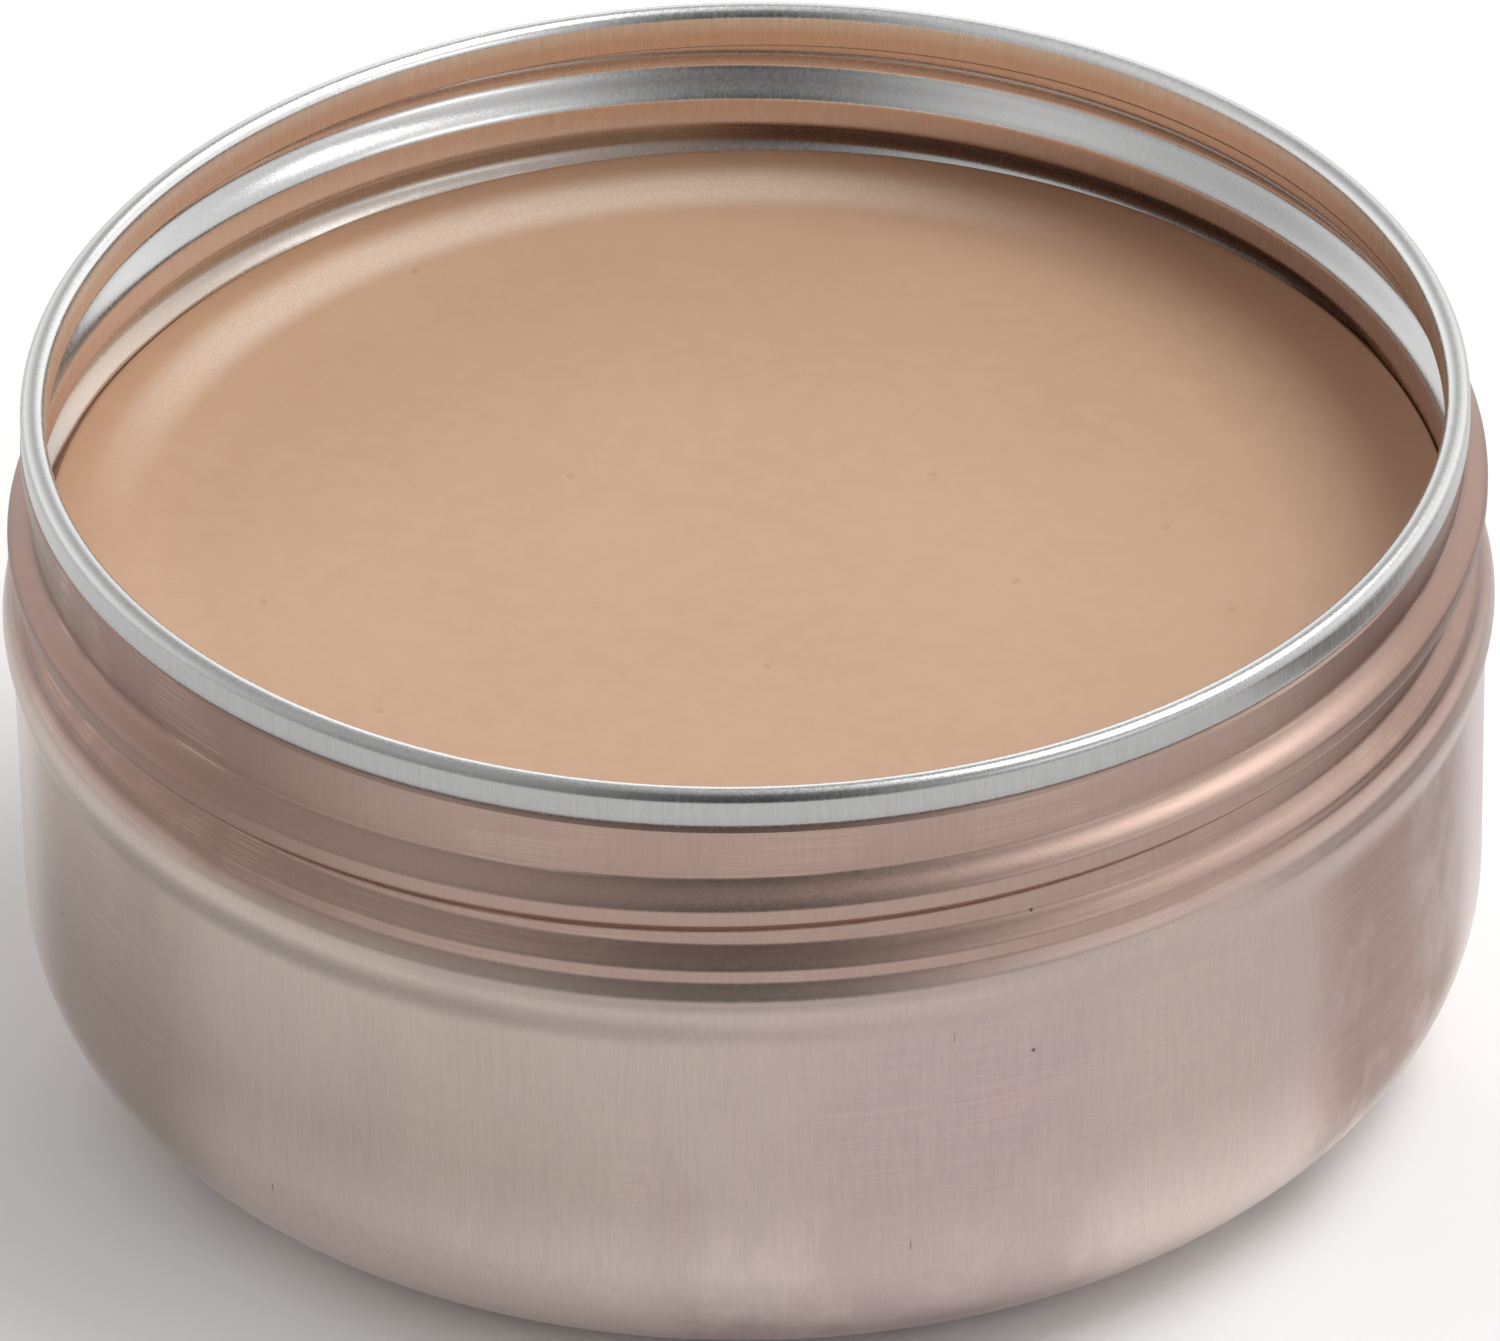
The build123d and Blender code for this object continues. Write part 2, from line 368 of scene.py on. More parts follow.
def value_noise(x, y, seed):
    # Smooth noise on the plane from a fixed hash, -1 to 1.
    def corner(i, j):
        n = (i * 374761393 + j * 668265263 + seed * 69069) & 0xFFFFFFFF
        n = ((n ^ (n >> 13)) * 1274126177) & 0xFFFFFFFF
        return ((n ^ (n >> 16)) & 0xFFFF) / 32767.5 - 1

    i, j = math.floor(x), math.floor(y)
    u, v = x - i, y - j
    u, v = u * u * (3 - 2 * u), v * v * (3 - 2 * v)
    low = corner(i, j) * (1 - u) + corner(i + 1, j) * u
    high = corner(i, j + 1) * (1 - u) + corner(i + 1, j + 1) * u
    return low * (1 - v) + high * v


def roughen_fill(obj):
    # Poured surface: long low waves, a ragged edge and a slightly uneven rise.
    edge_r = (wall_radius(FILL_EDGE_Z + MENISCUS) - SHEET - FILL_GAP) * MM
    for v in obj.data.vertices:
        r = math.hypot(v.co.x, v.co.y)
        if v.co.z < (FILL_EDGE_Z - FILL_DIP - 0.1) * MM:
            continue
        a = math.atan2(v.co.y, v.co.x)
        waves = 0.035 * value_noise(v.co.x * 90, v.co.y * 90, 3)
        waves += 0.012 * value_noise(v.co.x * 340, v.co.y * 340, 5)
        near = smooth(0.86, 1.0, r / edge_r)
        ragged = 0.5 * value_noise(math.cos(a) * 40, math.sin(a) * 40, 7)
        ragged += 0.5 * value_noise(math.cos(a) * 13, math.sin(a) * 13, 9)
        v.co.z += (waves * (1 - near * 0.6) + 0.05 * ragged * near) * MM
        if r > edge_r * 0.985:
            pull = (0.02 + 0.05 * ragged) * MM
            v.co.x -= math.cos(a) * max(pull, 0)
            v.co.y -= math.sin(a) * max(pull, 0)


roughen_fill(polish)


# ---------------------------------------------------------------- lid shape
def lid_loop():
    loop = []

    def put(points, zone):
        loop.extend((r, z, zone) for r, z in points)

    put([(0, LID_PANEL_RISE)], 1.0)
    put(line((0, LID_PANEL_RISE), (LID_PANEL_R - 0.2, LID_PANEL_RISE), 6), 1.0)
    ring_r = LID_PANEL_R + LID_PANEL_SLOPE
    panel_edge = (LID_PANEL_R, LID_PANEL_RISE - 0.03)
    put([panel_edge, (ring_r - 0.15, 0.05), (ring_r + 0.1, 0.0)], 1.0)
    corner_x = LID_R - LID_CORNER_R
    put(arc(corner_x, LID_CORNER_R, LID_CORNER_R, -90, 0, 14), 1.0)
    hem_low = LID_HEIGHT - HEM_HEIGHT
    z = LID_CORNER_R
    while z < hem_low - 0.05:
        z += FINE_STEP
        put([(LID_R, z)], 1.0)
    half = HEM_WIDTH / 2
    mid_r = LID_R - SHEET + half
    low_z = hem_low + half
    top_z = LID_HEIGHT - half
    void = HEM_VOID_R
    put(line((LID_R, z), (LID_R, top_z), 3), 1.0)
    put(arc(LID_R + void, top_z, void, 180, 0, 4)[1:], 1.0)
    put([(LID_R + 2 * void, low_z), (LID_R + 0.12, low_z - 0.3)], 1.0)
    put(arc(mid_r, low_z, half, -100, 0, 10), 1.0)
    put(line((mid_r + half, low_z), (mid_r + half, top_z), 3), 1.0)
    put(arc(mid_r, top_z, half, 0, 180, 16)[1:], 0.0)
    z = top_z
    while z > LID_CORNER_R + 0.1:
        z -= FINE_STEP
        put([(LID_R - SHEET, z)], 0.0)
    put(arc(corner_x, LID_CORNER_R, LID_CORNER_R - SHEET, 0, -90, 10), 0.0)
    put(line((corner_x, SHEET), (ring_r, SHEET), 2), 0.0)
    panel_z = LID_PANEL_RISE + SHEET
    put(line((ring_r, SHEET), (LID_PANEL_R, panel_z), 3), 0.0)
    put(line((LID_PANEL_R, panel_z), (0, panel_z), 5), 0.0)
    return loop


def lid_bead(deg, z, zone):
    share = 0.0
    if 2.0 < z < LID_HEIGHT - HEM_HEIGHT - 0.02:
        share = helix_height(deg, z, LID_THREAD, LID_CREST)
    return -LID_RIDGE_H * share, share


lid = ring_mesh("lid_shell", lid_loop(), LID_X, lid_bead, lid_low[2])


def liner_loop():
    low, high = liner_low[2] / MM, liner_high[2] / MM
    radius = (liner_high[0] - liner_low[0]) / 2 / MM
    edge = 0.2
    loop = [(0, low, 0.0)]
    loop += [(r, z, 0.0) for r, z in line((0, low), (radius - edge, low), 6)]
    loop += [(r, z, 0.0) for r, z in arc(radius - edge, low + edge, edge, -90, 0, 5)[1:]]
    loop += [(r, z, 0.0) for r, z in arc(radius - edge, high - edge, edge, 0, 90, 5)]
    for k in range(1, 31):
        r = (radius - edge) * (1 - k / 30.0)
        # The rim of the tin has pressed a shallow ring into the foam
        press = 0.07 * math.exp(-(((r - 32.5) / 0.45) ** 2))
        loop.append((r, high - press, 1.0))
    return loop


liner = ring_mesh("liner_disc", liner_loop(), LID_X, no_bead)


# ---------------------------------------------------------------- materials
class Nodes:
    def __init__(self, name):
        self.material = bpy.data.materials.new(name)
        self.material.use_nodes = True
        self.tree = self.material.node_tree
        self.tree.nodes.clear()
        self.out = self.add("ShaderNodeOutputMaterial")
        self.coord = self.add("ShaderNodeTexCoord").outputs["Object"]

    def add(self, kind, **values):
        node = self.tree.nodes.new(kind)
        for key, value in values.items():
            setattr(node, key, value)
        return node

    def link(self, source, target):
        self.tree.links.new(source, target)

    def put(self, socket, value):
        if hasattr(value, "links"):
            self.link(value, socket)
        else:
            socket.default_value = value

    def math(self, operation, a, b=0.0, clamp=False):
        node = self.add("ShaderNodeMath", operation=operation, use_clamp=clamp)
        self.put(node.inputs[0], a)
        self.put(node.inputs[1], b)
        return node.outputs[0]

    def product(self, first, *others):
        for other in others:
            first = self.math("MULTIPLY", first, other)
        return first

    def inverse(self, value):
        return self.math("SUBTRACT", 1.0, value)

    def scaled(self, scale):
        node = self.add("ShaderNodeMapping")
        self.link(self.coord, node.inputs["Vector"])
        node.inputs["Scale"].default_value = scale
        return node.outputs["Vector"]

    def noise(self, scale, detail=2.0, roughness=0.5, distortion=0.0):
        node = self.add("ShaderNodeTexNoise")
        self.link(self.scaled(scale), node.inputs["Vector"])
        node.inputs["Scale"].default_value = 1.0
        node.inputs["Detail"].default_value = detail
        node.inputs["Roughness"].default_value = roughness
        node.inputs["Distortion"].default_value = distortion
        return node.outputs["Fac"]

    def cells(self, scale):
        # Distance to the nearest of a field of scattered points.
        node = self.add("ShaderNodeTexVoronoi")
        self.link(self.scaled(scale), node.inputs["Vector"])
        node.inputs["Scale"].default_value = 1.0
        return node.outputs["Distance"]

    def ramp(self, value, low, high, interpolation="SMOOTHSTEP", to_low=0.0, to_high=1.0):
        node = self.add("ShaderNodeMapRange", interpolation_type=interpolation)
        self.link(value, node.inputs["Value"])
        node.inputs["From Min"].default_value = low
        node.inputs["From Max"].default_value = high
        node.inputs["To Min"].default_value = to_low
        node.inputs["To Max"].default_value = to_high
        return node.outputs["Result"]

    def mix(self, factor, a, b, blend="MIX"):
        node = self.add("ShaderNodeMix", data_type="RGBA", blend_type=blend)
        self.put(node.inputs["Factor"], factor)
        self.put(node.inputs["A"], a if hasattr(a, "links") else (*a, 1.0))
        self.put(node.inputs["B"], b if hasattr(b, "links") else (*b, 1.0))
        return node.outputs["Result"]

    def bump(self, height, strength, distance, normal=None):
        node = self.add("ShaderNodeBump")
        node.inputs["Strength"].default_value = strength
        node.inputs["Distance"].default_value = distance
        self.link(height, node.inputs["Height"])
        if normal is not None:
            self.link(normal, node.inputs["Normal"])
        return node.outputs["Normal"]

    def zone(self):
        attribute = self.add("ShaderNodeAttribute", attribute_name="zone")
        split = self.add("ShaderNodeSeparateColor")
        self.link(attribute.outputs["Color"], split.inputs["Color"])
        return split.outputs

    def axes(self, vector):
        split = self.add("ShaderNodeSeparateXYZ")
        self.link(vector, split.inputs["Vector"])
        return split.outputs

    def place(self, centre_x=0.0):
        # Height in metres, and the point's direction from the axis.
        x, y, height = self.axes(self.coord)
        if centre_x:
            x = self.math("SUBTRACT", x, centre_x)
        return height, self.math("ARCTAN2", y, x)

    def radius(self):
        # Distance from the tin's axis, in metres.
        x, y, _ = self.axes(self.coord)
        return self.math("SQRT", self.math("ADD", self.product(x, x), self.product(y, y)))

    def facing_up(self):
        # Upward part of the surface's own direction, -1 to 1.
        return self.axes(self.add("ShaderNodeNewGeometry").outputs["Normal"])["Z"]


def window(nodes, value, centre, half, soft):
    # 1 inside a band round centre, fading to 0 over soft.
    away = nodes.math("ABSOLUTE", nodes.math("SUBTRACT", value, centre))
    return nodes.ramp(away, half, half + soft, to_low=1.0, to_high=0.0)


def sector(nodes, angle, centre_deg, half_deg, soft_deg):
    # 1 within half_deg of a bearing, fading to 0 over soft_deg, right round.
    turned = nodes.math("SUBTRACT", angle, math.radians(centre_deg))
    away = nodes.math("ARCCOSINE", nodes.math("COSINE", turned))
    half, soft = math.radians(half_deg), math.radians(soft_deg)
    return nodes.ramp(away, half, half + soft, to_low=1.0, to_high=0.0)


# Linear colours of the sheet
BARE = (0.74, 0.74, 0.74), (0.90, 0.90, 0.89)
RIM_SIDE_SHADE = (0.38, 0.38, 0.375)
RIM_TOP_ENDS_SHADE = (0.48, 0.48, 0.475)
BEAD_INSIDE_ENDS_SHADE = (0.42, 0.42, 0.42)
INSIDE_POLISH_REFLECTION = (0.74, 0.59, 0.51)
TAUPE = (0.485, 0.41, 0.365), (0.535, 0.455, 0.405)
ROSY = (0.50, 0.395, 0.37)
FOOT_REFLECTION = (0.86, 0.73, 0.68)
MAUVE_REFLECTION = (0.43, 0.325, 0.34)
NECK_SHADE = (0.41, 0.285, 0.24)
NECK_LEFT_SHADE = (0.235, 0.15, 0.122)
NECK_RIGHT_SHADE = (0.235, 0.15, 0.12)
FRONT_RIGHT_SHADE = (0.33, 0.225, 0.19)
FRONT_LEFT_SHADE = (0.36, 0.275, 0.235)
WORN = (0.68, 0.52, 0.43)
UNDER_BEAD_SHADE = (0.44, 0.235, 0.185)
MARK = (0.10, 0.075, 0.07)
GLANCE_REFLECTION = (0.88, 0.86, 0.85)
FILM_WITH_PAINTED_LIGHT = (0.56, 0.33, 0.21), (0.72, 0.55, 0.40)

# Bearings of the casts, painted shade and painted reflections on the wall: middle,
# half-width and fade, in degrees
ROSY_AT = (-10, 60, 42)
MAUVE_REFLECTION_AT = (-80, 13, 9)
NECK_LEFT_SHADE_AT = (-158, 20, 26)
NECK_RIGHT_SHADE_AT = (-12, 12, 20)
FRONT_RIGHT_SHADE_AT = (-29, 7, 9)
FRONT_LEFT_SHADE_AT = (-152, 7, 12)
FILM_HIGH_AT = (128, 30, 14)

# Heights in metres between which the wall's casts fade
LOW_WALL = (0.0215, 0.0195)
FOOT_FADE = (0.0125, 0.0025)
NECK_FADE = (0.0222, 0.0236)
LID_FOOT_SHARE = 0.4


def brushed_grain(n):
    # Fine upright lines crossed by slanted ones.
    upright = n.noise((9000, 9000, 260), 3, 0.65)
    slanted = n.noise((5200, 5200, 900), 2, 0.6, 0.4)
    return n.product(n.math("ADD", upright, n.product(slanted, 0.6)), 0.62)


def handling_marks(n, patch):
    # Small dark specks and short hair-thin scratches.
    specks = n.ramp(n.cells((260, 260, 260)), 0.02, 0.034, to_low=1.0, to_high=0.0)
    hairs = n.ramp(n.cells((1500, 900, 150)), 0.035, 0.06, to_low=1.0, to_high=0.0)
    hairs = n.product(hairs, n.ramp(patch, 0.55, 0.62))
    return n.math("MAXIMUM", specks, n.product(hairs, 0.8))


def rim_and_inside(n, bare, height, outside):
    # Painted shade: the tin's rolled rim is greyer on its outer side than over its top.
    rim_side = n.ramp(n.radius(), (RIM_R + 0.1) * MM, (RIM_R + 0.5) * MM)
    curl = n.ramp(height, (CURL_LOW_Z - 0.1) * MM, CURL_LOW_Z * MM)
    rim_side = n.product(rim_side, curl)
    bare = n.mix(n.product(rim_side, 0.85), bare, RIM_SIDE_SHADE)
    # Painted shade: the top of the rim is greyer towards its left and right ends.
    across = n.math("ABSOLUTE", n.axes(n.coord)["X"])
    over_top = n.ramp(height, (HEIGHT - 0.75) * MM, (HEIGHT - 0.25) * MM)
    over_top = n.product(over_top, n.ramp(across, 0.017, 0.03))
    bare = n.mix(n.product(over_top, 0.8), bare, RIM_TOP_ENDS_SHADE)
    # Inside, the sheet is painted with a warm reflection of the polish, apart
    # from the bead's upward flank, which is bare and has painted shade to either side.
    within = n.ramp(height, (CURL_LOW_Z + 1.4) * MM, (CURL_LOW_Z + 0.6) * MM)
    within = n.product(within, n.inverse(outside), n.inverse(rim_side))
    flank = n.ramp(n.facing_up(), 0.12, 0.3)
    band_end_shade = n.product(within, flank, n.ramp(across, 0.011, 0.027))
    bare = n.mix(n.product(band_end_shade, 0.9), bare, BEAD_INSIDE_ENDS_SHADE)
    within = n.product(within, n.inverse(flank))
    return n.mix(n.product(within, 0.9), bare, INSIDE_POLISH_REFLECTION)


def outside_cast(n, height, angle, crest, patch, rings, foot_share):
    # The rose-taupe cast of the outside wall, and how it changes over it, with painted
    # shade and painted reflections.
    broad = n.noise((70, 70, 50), 3, 0.5)
    cast = n.mix(n.ramp(broad, 0.35, 0.65), *TAUPE)
    cast = n.mix(n.product(sector(n, angle, *ROSY_AT), 0.8), cast, ROSY)
    # Painted reflection: paler towards the foot, where the wall turns under towards the
    # bright floor
    foot = n.product(n.ramp(height, *FOOT_FADE), foot_share)
    cast = n.mix(n.product(foot, 0.9), cast, FOOT_REFLECTION)
    low_wall = n.ramp(height, *LOW_WALL)
    # Painted reflection: a mauve patch low on the front of the wall.
    mauve_reflection = n.product(sector(n, angle, *MAUVE_REFLECTION_AT), low_wall, n.ramp(patch, 0.3, 0.6))
    cast = n.mix(n.product(mauve_reflection, 0.5), cast, MAUVE_REFLECTION)
    # Painted shade: the neck is browner and darker than the wall under it, most of all at
    # its left and right
    neck = n.ramp(height, *NECK_FADE)
    cast = n.mix(n.product(neck, 0.9), cast, NECK_SHADE)
    left = n.product(neck, sector(n, angle, *NECK_LEFT_SHADE_AT))
    cast = n.mix(n.product(left, 0.85), cast, NECK_LEFT_SHADE)
    right = n.product(neck, sector(n, angle, *NECK_RIGHT_SHADE_AT))
    cast = n.mix(n.product(right, 0.85), cast, NECK_RIGHT_SHADE)
    # Painted shade: a brown patch low on the wall at the front right.
    front_right_shade = n.product(sector(n, angle, *FRONT_RIGHT_SHADE_AT), low_wall, n.ramp(patch, 0.3, 0.55))
    cast = n.mix(n.product(front_right_shade, 0.85), cast, FRONT_RIGHT_SHADE)
    # Painted shade: a browner band low on the wall at the front left.
    front_left_shade = n.product(sector(n, angle, *FRONT_LEFT_SHADE_AT), low_wall)
    cast = n.mix(n.product(front_left_shade, 0.6), cast, FRONT_LEFT_SHADE)
    # A worn line where the lid's thread rides, and painted shade, darker and redder, on
    # the face that turns down under the bead
    rub = n.product(window(n, crest, 0.035, 0.02, 0.025), n.ramp(rings, 0.45, 0.6))
    rub = n.product(rub, n.ramp(patch, 0.42, 0.6))
    cast = n.mix(n.product(rub, 0.55), cast, WORN)
    under = n.product(n.ramp(n.facing_up(), -0.12, -0.5), n.ramp(crest, 0.05, 0.3))
    return n.mix(n.product(under, 0.75), cast, UNDER_BEAD_SHADE)


def wax_film(n, sheet, height, angle, outside):
    # Wax smeared on the inside wall just over the polish. It covers the step
    # all round and climbs higher at the far left.
    far_left = sector(n, angle, *FILM_HIGH_AT)
    top = n.product(n.noise((55, 55, 0), 3, 0.5), 0.0008)
    top = n.math("ADD", top, n.product(far_left, 0.0013))
    level = n.math("ADD", top, STEP_TOP_Z * MM + 0.0003)
    film = n.ramp(n.math("SUBTRACT", level, height), -0.0003, 0.0003)
    broken = n.ramp(n.noise((900, 900, 500), 4, 0.7), 0.2, 0.5, to_low=0.75)
    film = n.product(film, broken, n.math("ADD", n.product(far_left, 0.5), 0.12))
    film = n.math("MULTIPLY", film, n.inverse(outside), clamp=True)
    wax = n.add("ShaderNodeBsdfPrincipled")
    # The film is wax; its paler colour at the far left is painted light.
    n.link(n.mix(far_left, *FILM_WITH_PAINTED_LIGHT), wax.inputs["Base Color"])
    wax.inputs["Roughness"].default_value = 0.45
    blend = n.add("ShaderNodeMixShader")
    n.link(film, blend.inputs[0])
    n.link(sheet.outputs[0], blend.inputs[1])
    n.link(wax.outputs[0], blend.inputs[2])
    return blend


def metal(name, lid_x=0.0):
    # Brushed sheet. lid_x is the lid's axis in metres, and 0 for the tin.
    on_tin = lid_x == 0.0
    n = Nodes(name)
    zone = n.zone()
    outside, crest = zone[0], zone[1]
    height, angle = n.place(lid_x)
    grain = brushed_grain(n)
    rings = n.noise((120, 120, 14000), 2, 0.6)
    patch = n.noise((160, 160, 110), 4, 0.6)

    bare = n.mix(grain, *BARE)
    if on_tin:
        bare = rim_and_inside(n, bare, height, outside)
    foot_share = 1.0 if on_tin else LID_FOOT_SHARE
    cast = outside_cast(n, height, angle, crest, patch, rings, foot_share)
    colour = n.mix(outside, bare, cast)
    streaks = n.ramp(grain, 0.35, 0.75, "LINEAR", 0.9, 1.06)
    grey = n.add("ShaderNodeCombineColor")
    for channel in ("Red", "Green", "Blue"):
        n.link(streaks, grey.inputs[channel])
    colour = n.mix(1.0, colour, grey.outputs["Color"], "MULTIPLY")
    marks = n.product(handling_marks(n, patch), n.product(outside, 0.75))
    colour = n.mix(marks, colour, MARK)
    # Painted reflection: seen at a glancing angle the low wall is painted paler
    facing = n.add("ShaderNodeLayerWeight")
    facing.inputs["Blend"].default_value = 0.5
    glance_reflection = n.ramp(facing.outputs["Facing"], 0.74, 0.9)
    glance_reflection = n.product(glance_reflection, outside, n.ramp(height, *LOW_WALL))
    colour = n.mix(n.product(glance_reflection, 0.35), colour, GLANCE_REFLECTION)

    rough = n.ramp(grain, 0.3, 0.8, "LINEAR", 0.2, 0.34)
    rough = n.math("ADD", rough, n.product(outside, 0.12))
    rough = n.math("ADD", rough, n.product(marks, 0.3), clamp=True)
    normal = n.bump(grain, 0.22, 0.00002)
    normal = n.bump(rings, 0.12, 0.00002, normal)

    sheet = n.add("ShaderNodeBsdfPrincipled")
    sheet.inputs["Metallic"].default_value = 1.0
    sheet.inputs["Anisotropic"].default_value = 0.35
    n.link(colour, sheet.inputs["Base Color"])
    n.link(rough, sheet.inputs["Roughness"])
    n.link(normal, sheet.inputs["Normal"])
    surface = sheet
    if on_tin:
        tangent = n.add("ShaderNodeTangent", direction_type="RADIAL", axis="Z")
        n.link(tangent.outputs["Tangent"], sheet.inputs["Tangent"])
        surface = wax_film(n, sheet, height, angle, outside)
    n.link(surface.outputs[0], n.out.inputs["Surface"])
    return n.material


# Linear colours of the polish, the foam and the floor
WAX = (0.50, 0.312, 0.20), (0.525, 0.335, 0.219)
WAX_MOTTLE = (0.545, 0.357, 0.24)
WAX_EDGE = (0.45, 0.262, 0.158)
WAX_HIGHLIGHT = (0.80, 0.66, 0.54)
WAX_WALL_SHADOW = (0.36, 0.165, 0.10)
WAX_PIT = (0.42, 0.24, 0.15)
FOAM = (0.74, 0.74, 0.72), (0.8, 0.8, 0.79)
FOAM_CELL = (0.66, 0.66, 0.64)
FLOOR = (0.86, 0.86, 0.86), (0.88, 0.88, 0.88)
HIGHLIGHT_R = 0.0297
HIGHLIGHT_AT = (112, 24, 46)
WALL_SHADOW_AT = (32, 26, 34)


def polish_material():
    n = Nodes("polish_wax")
    _, angle = n.place()
    radius = n.radius()
    cloud = n.noise((45, 45, 45), 3, 0.5)
    mottle = n.noise((700, 700, 700), 3, 0.6)
    fine = n.noise((5200, 5200, 5200), 2, 0.6)
    colour = n.mix(n.ramp(cloud, 0.3, 0.7), *WAX)
    colour = n.mix(n.product(n.ramp(mottle, 0.35, 0.7), 0.35), colour, WAX_MOTTLE)
    # Browner close to the wall
    edge = n.ramp(radius, 0.0272, 0.0328)
    colour = n.mix(n.product(edge, 0.55), colour, WAX_EDGE)
    # A painted highlight ring at the far left, and a painted shadow of the wall at the
    # right
    sparkle = n.ramp(n.noise((6500, 6500, 6500), 2, 0.7), 0.35, 0.65, to_low=0.7)
    highlight = window(n, radius, HIGHLIGHT_R, 0.0003, 0.0015)
    highlight = n.product(highlight, sector(n, angle, *HIGHLIGHT_AT), sparkle)
    colour = n.mix(n.product(highlight, 0.75), colour, WAX_HIGHLIGHT)
    # Painted shadow of the wall on the polish at the right.
    wall_shadow = n.product(sector(n, angle, *WALL_SHADOW_AT), n.ramp(radius, 0.0255, 0.0315))
    colour = n.mix(n.product(wall_shadow, 0.5), colour, WAX_WALL_SHADOW)
    pits = n.ramp(n.cells((190, 190, 190)), 0.03, 0.06, to_low=1.0, to_high=0.0)
    colour = n.mix(n.product(pits, 0.35), colour, WAX_PIT)
    shader = n.add("ShaderNodeBsdfPrincipled")
    n.link(colour, shader.inputs["Base Color"])
    rough = n.ramp(fine, 0.3, 0.75, "LINEAR", 0.36, 0.5)
    n.link(rough, shader.inputs["Roughness"])
    shader.inputs["IOR"].default_value = 1.44
    shader.inputs["Subsurface Weight"].default_value = 0.12
    shader.inputs["Subsurface Radius"].default_value = (1.0, 0.6, 0.4)
    shader.inputs["Subsurface Scale"].default_value = 0.0012
    normal = n.bump(fine, 0.25, 0.00003)
    normal = n.bump(mottle, 0.2, 0.00008, normal)
    normal = n.bump(n.inverse(pits), 0.4, 0.00008, normal)
    n.link(normal, shader.inputs["Normal"])
    n.link(shader.outputs[0], n.out.inputs["Surface"])
    return n.material


def foam_material():
    n = Nodes("liner_foam")
    cells = n.cells((2600, 2600, 2600))
    cloud = n.noise((120, 120, 120), 3, 0.5)
    colour = n.mix(n.ramp(cloud, 0.3, 0.7), *FOAM)
    colour = n.mix(n.ramp(cells, 0.2, 0.7), colour, FOAM_CELL)
    shader = n.add("ShaderNodeBsdfPrincipled")
    n.link(colour, shader.inputs["Base Color"])
    rough = n.ramp(cells, 0.2, 0.7, "LINEAR", 0.55, 0.75)
    n.link(rough, shader.inputs["Roughness"])
    n.link(n.bump(cells, 0.5, 0.00006), shader.inputs["Normal"])
    n.link(shader.outputs[0], n.out.inputs["Surface"])
    return n.material


def floor_material():
    n = Nodes("floor_pale")
    colour = n.mix(n.ramp(n.noise((6, 6, 6), 2, 0.5), 0.3, 0.7), *FLOOR)
    shader = n.add("ShaderNodeBsdfPrincipled")
    n.link(colour, shader.inputs["Base Color"])
    shader.inputs["Roughness"].default_value = 0.85
    shader.inputs["Specular IOR Level"].default_value = 0.2
    n.link(shader.outputs[0], n.out.inputs["Surface"])
    return n.material


def dress(obj, material, body, node):
    obj.data.materials.append(material)
    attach(obj, body)
    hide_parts(node)


dress(tin, metal("tin_aluminium"), "tin", "tin_body")
dress(polish, polish_material(), "tin", "polish")
dress(lid, metal("lid_aluminium", LID_X * MM), "lid", "screw_lid")
dress(liner, foam_material(), "lid", "lid_liner")

# -------------------------------------------------------- floor and lights
FLOOR_HALF = 3.0
floor_mesh = bpy.data.meshes.new("floor")
signs = ((-1, -1), (1, -1), (1, 1), (-1, 1))
corners = [(x * FLOOR_HALF, y * FLOOR_HALF, 0) for x, y in signs]
floor_mesh.from_pydata(corners, [], [(0, 1, 2, 3)])
floor = bpy.data.objects.new("floor", floor_mesh)
bpy.context.scene.collection.objects.link(floor)
floor_mesh.materials.append(floor_material())

# Soft surround: bright behind, light on the right, dim on the near side
world = bpy.data.worlds.new("studio")
bpy.context.scene.world = world
world.use_nodes = True
sky = world.node_tree
sky.nodes.clear()
SURROUND = 0.19
BEHIND = 1.12
ABOVE = 0.27
RIGHT = 0.6
LEFT = 0.34
CARD_DEPTH = 0.72


def sky_math(operation, a, b):
    node = sky.nodes.new("ShaderNodeMath")
    node.operation = operation
    for socket, value in zip(node.inputs, (a, b)):
        if hasattr(value, "links"):
            sky.links.new(value, socket)
        else:
            socket.default_value = value
    return node.outputs[0]


def sky_ramp(value, low, high, strength):
    node = sky.nodes.new("ShaderNodeMapRange")
    node.interpolation_type = "SMOOTHSTEP"
    sky.links.new(value, node.inputs["Value"])
    node.inputs["From Min"].default_value = low
    node.inputs["From Max"].default_value = high
    node.inputs["To Max"].default_value = strength
    return node.outputs["Result"]


direction = sky.nodes.new("ShaderNodeTexCoord").outputs["Generated"]
axes = sky.nodes.new("ShaderNodeSeparateXYZ")
sky.links.new(direction, axes.inputs["Vector"])
backdrop = sky_ramp(axes.outputs["Y"], -0.55, 0.6, BEHIND)
backdrop = sky_math("MULTIPLY", backdrop, sky_ramp(axes.outputs["Z"], 0.8, 0.3, 1.0))
glow = sky_math("ADD", SURROUND, backdrop)
glow = sky_math("ADD", glow, sky_ramp(axes.outputs["Z"], 0.35, 1.0, ABOVE))
glow = sky_math("ADD", glow, sky_ramp(axes.outputs["X"], 0.0, 0.8, RIGHT))
glow = sky_math("ADD", glow, sky_ramp(axes.outputs["X"], 0.0, -0.7, LEFT))
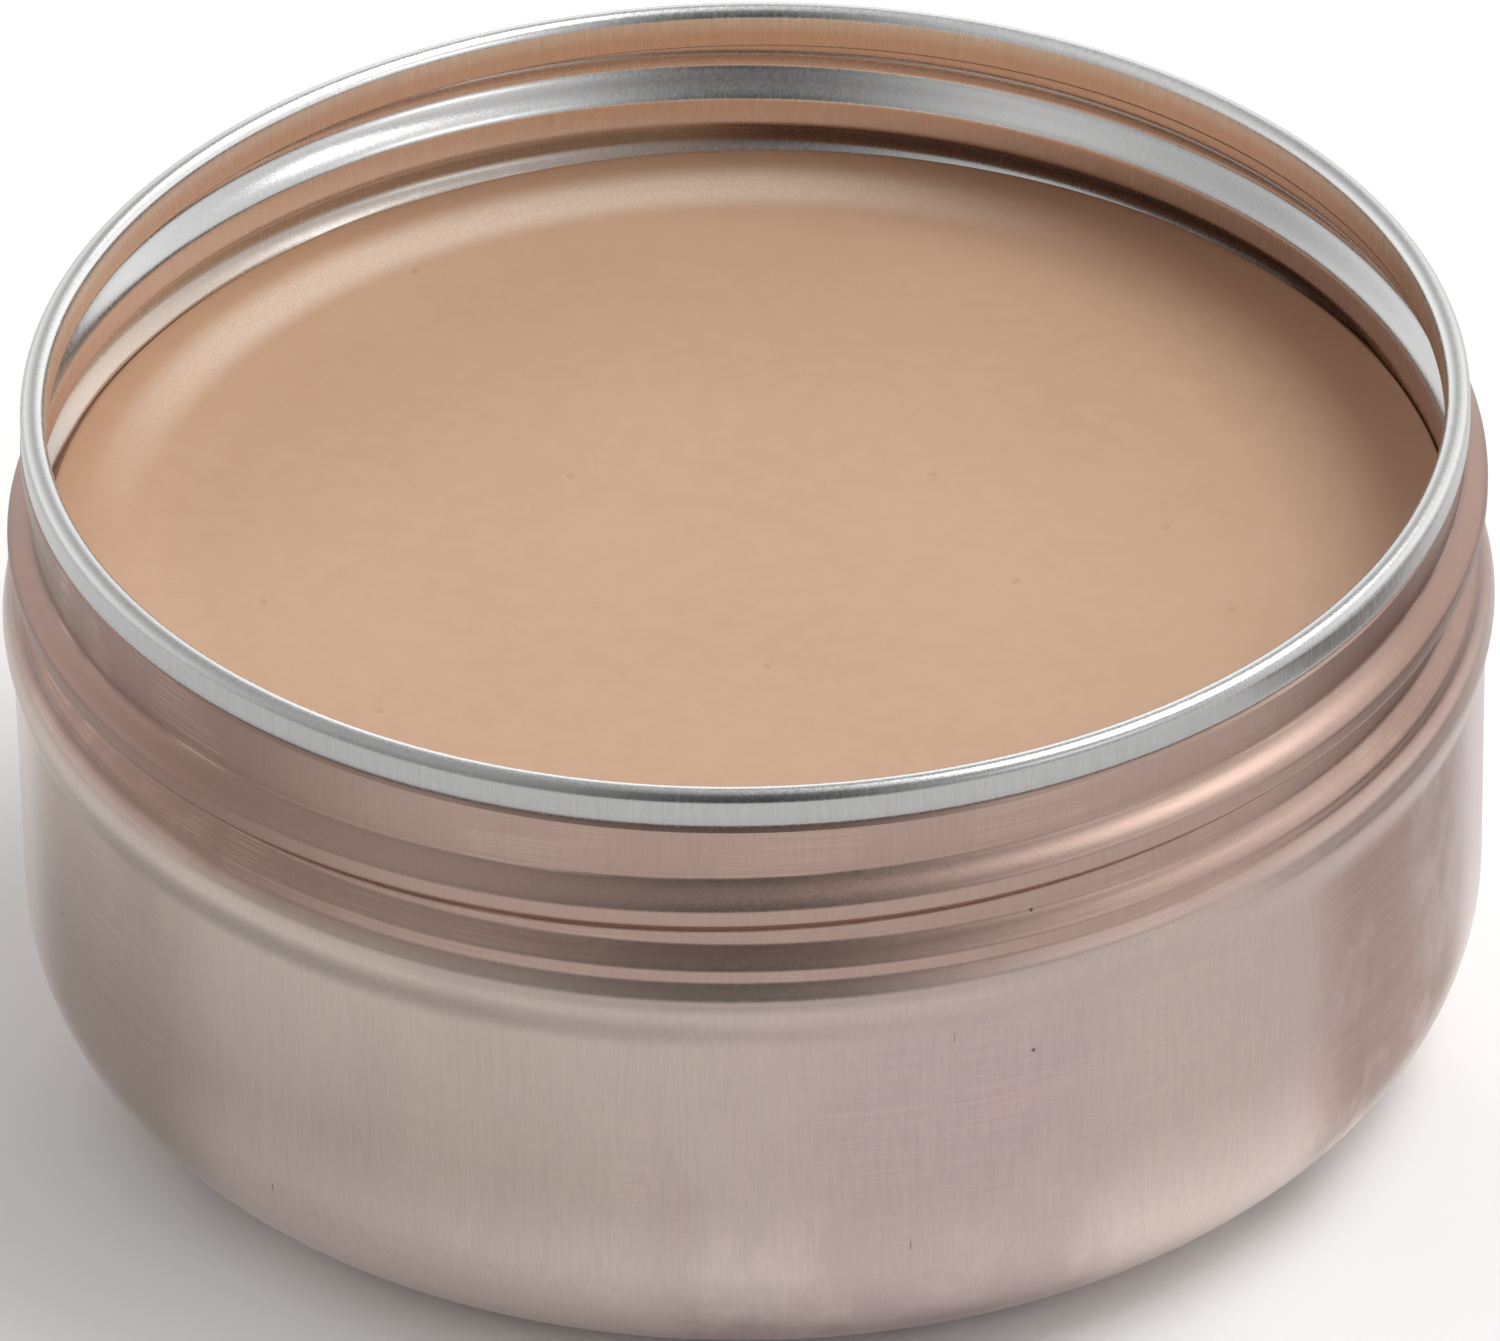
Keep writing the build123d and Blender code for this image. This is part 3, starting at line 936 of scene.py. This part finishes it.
# A dim card above the camera, narrow in azimuth
side_on = sky_ramp(sky_math("ABSOLUTE", axes.outputs["X"], 0.0), 0.42, 0.12, 1.0)
near_side = sky_ramp(axes.outputs["Y"], -0.15, -0.45, CARD_DEPTH)
card = sky_math("SUBTRACT", 1.0, sky_math("MULTIPLY", side_on, near_side))
glow = sky_math("MULTIPLY", glow, card)
background = sky.nodes.new("ShaderNodeBackground")
background.inputs["Color"].default_value = (1.0, 1.0, 1.0, 1.0)
sky.links.new(glow, background.inputs["Strength"])
sky_out = sky.nodes.new("ShaderNodeOutputWorld")
sky.links.new(background.outputs[0], sky_out.inputs["Surface"])


def softbox(name, azimuth_deg, elevation_deg, distance, size_x, size_y, radiance):
    # Area light with the stated radiance on its face, aimed at the tin.
    data = bpy.data.lights.new(name, "AREA")
    data.shape = "RECTANGLE"
    data.size = size_x
    data.size_y = size_y
    data.energy = radiance * math.pi * size_x * size_y
    azimuth, elevation = math.radians(azimuth_deg), math.radians(elevation_deg)
    away = Vector(
        (
            math.cos(elevation) * math.cos(azimuth),
            math.cos(elevation) * math.sin(azimuth),
            math.sin(elevation),
        )
    )
    obj = bpy.data.objects.new(name, data)
    obj.location = away * distance + Vector((0, 0, HEIGHT * MM / 2))
    obj.rotation_euler = (-away).to_track_quat("-Z", "Y").to_euler()
    bpy.context.scene.collection.objects.link(obj)
    return obj


# Azimuth, elevation, distance, width, height, radiance
softbox("key", 20, 60, 1.2, 0.8, 0.6, 5.8)
softbox("side", -40, 28, 1.3, 0.5, 0.35, 1.2)

# ---------------------------------------------------------------- camera
CAMERA_ELEVATION = math.radians(34.48)
CAMERA_DISTANCE = 0.6617
CAMERA_ROLL = math.radians(1.05)
CAMERA_TARGET_Z = 0.0169
CAMERA_LENS = 342.7
camera_data = bpy.data.cameras.new("camera")
camera_data.sensor_width = 36.0
camera_data.lens = CAMERA_LENS
camera_data.clip_start = 0.01
camera_data.clip_end = 20.0
camera = bpy.data.objects.new("camera", camera_data)
position = Vector(
    (
        0,
        -CAMERA_DISTANCE * math.cos(CAMERA_ELEVATION),
        CAMERA_TARGET_Z + CAMERA_DISTANCE * math.sin(CAMERA_ELEVATION),
    )
)
look = Vector((0, 0, CAMERA_TARGET_Z)) - position
turn = look.to_track_quat("-Z", "Y").to_matrix().to_4x4()
roll = Matrix.Rotation(-CAMERA_ROLL, 4, "Z")
camera.matrix_world = Matrix.Translation(position) @ turn @ roll
bpy.context.scene.collection.objects.link(camera)
bpy.context.scene.camera = camera
bpy.context.scene.view_settings.view_transform = "Standard"
